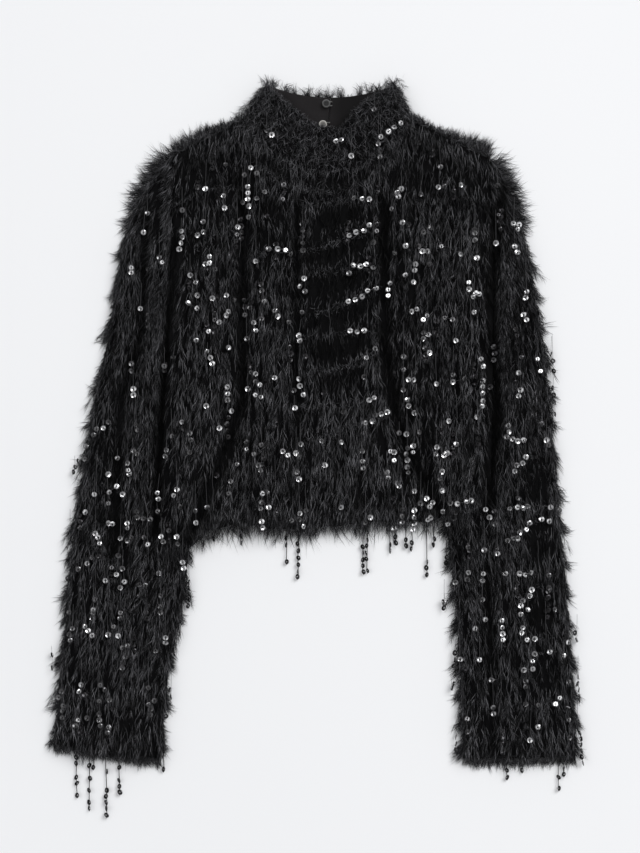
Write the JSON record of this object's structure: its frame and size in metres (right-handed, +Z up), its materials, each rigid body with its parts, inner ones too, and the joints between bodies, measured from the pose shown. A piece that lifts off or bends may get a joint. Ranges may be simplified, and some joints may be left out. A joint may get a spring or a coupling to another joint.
{
  "type": "long-sleeved high-neck sequin fringe top",
  "caption": "Cropped high-neck top with long sleeves in black eyelash fringe with sequin strands, laid flat on its back.",
  "frame": {"origin": "middle of the whole top in plan, strands included, on the surface that it lies on", "axes": "+Z up from the surface, +Y from the hem and cuffs towards the neck, +X towards the picture's right"},
  "size_m": [0.5802, 0.7928, 0.03],
  "materials": {
    "pile_cloth": "black eyelash pile in tiers with sequins",
    "back_cloth": "the same cloth, on the side that lies on the surface",
    "facing_satin": "smooth charcoal facing inside the collar",
    "button_gloss": "polished black",
    "loop_cord": "thin black cord",
    "fringe": "black fringe and sequin strands"
  },
  "bodies": {
    "root": {"front_panel": "pile_cloth", "back_panel": "back_cloth", "sleeve_left": "pile_cloth", "sleeve_right": "pile_cloth", "collar": "pile_cloth", "facing_left": "facing_satin", "facing_right": "facing_satin", "button_upper": "button_gloss", "button_lower": "button_gloss", "loop_upper": "loop_cord", "loop_lower": "loop_cord", "edge_fringe_left_upper": "fringe", "edge_fringe_left_middle": "fringe", "edge_fringe_left_lower": "fringe", "edge_fringe_right_upper": "fringe", "edge_fringe_right_middle": "fringe", "edge_fringe_right_lower": "fringe", "inner_fringe_left": "fringe", "inner_fringe_right": "fringe", "shoulder_fringe_left": "fringe", "shoulder_fringe_right": "fringe", "hem_fringe": "fringe", "cuff_fringe_left": "fringe", "cuff_fringe_right": "fringe", "collar_fringe_left": "fringe", "collar_fringe_right": "fringe"}
  },
  "joints": []
}
